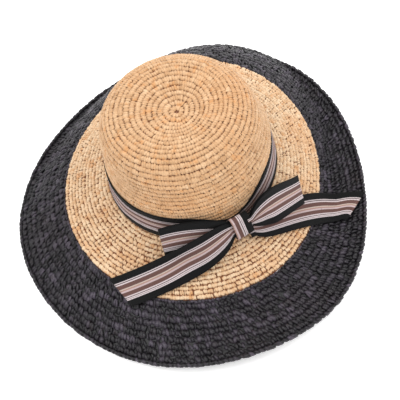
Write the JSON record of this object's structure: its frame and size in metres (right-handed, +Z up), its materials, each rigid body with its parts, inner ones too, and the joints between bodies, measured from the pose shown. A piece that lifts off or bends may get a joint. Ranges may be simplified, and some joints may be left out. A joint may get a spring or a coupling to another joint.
{
  "type": "straw sun hat",
  "caption": "Wide-brimmed crochet raffia sun hat with a round crown, a drooping two-tone brim, and a striped ribbon tied in a bow.",
  "frame": {"origin": "on the crown's axis, at the level of the table that the brim rests on", "axes": "+Z up along the crown's axis, -Y towards the front of the hat with the bow, +X to the right seen from the front"},
  "size_m": [0.3835, 0.4071, 0.166],
  "materials": {
    "natural_raffia": "crocheted natural raffia, matt with a slight straw sheen",
    "dyed_raffia": "crocheted raffia dyed black, slight straw sheen",
    "ribbon": "ribbed grosgrain with black, brown, pale pink and cream stripes",
    "sweatband_cotton": "woven cotton tape, matt",
    "sewing_thread": "matt sewing thread",
    "label_cloth": "blank satin label"
  },
  "bodies": {
    "hat": {"crown": "natural_raffia", "natural_brim": "natural_raffia", "dyed_brim": "dyed_raffia", "brim_edging": "dyed_raffia", "sweatband": "sweatband_cotton", "sweatband_stitches": "sewing_thread", "size_label": "label_cloth", "hat_ribbon": "ribbon", "bow_knot": "ribbon"},
    "loop_left": {"bow_loop_left": "ribbon"},
    "tail_left": {"bow_tail_left": "ribbon"},
    "tail_right": {"bow_tail_right": "ribbon"},
    "loop_right": {"bow_loop_right": "ribbon"}
  },
  "joints": [
    {"name": "loop_left_swing", "type": "hinge", "parent": "hat", "child": "loop_left", "pos_m": [0.01904, -0.09465, 0.0795], "axis": [-0.0826, 0.262, 0.9615], "range_deg": [0, 12], "stiffness_Nm_per_rad": 0.02},
    {"name": "tail_left_swing", "type": "hinge", "parent": "loop_left", "child": "tail_left", "pos_m": [0.01925, -0.09931, 0.0795], "axis": [-0.1096, 0.3475, 0.9312], "range_deg": [0, 25], "stiffness_Nm_per_rad": 0.02},
    {"name": "tail_right_swing", "type": "hinge", "parent": "hat", "child": "tail_right", "pos_m": [0.0405, -0.09418, 0.0675], "axis": [0.1301, -0.4127, -0.9015], "range_deg": [0, 12], "stiffness_Nm_per_rad": 0.02},
    {"name": "loop_right_swing", "type": "hinge", "parent": "tail_right", "child": "loop_right", "pos_m": [0.04164, -0.09382, 0.0795], "axis": [0.0826, -0.262, -0.9615], "range_deg": [0, 15], "stiffness_Nm_per_rad": 0.02}
  ]
}
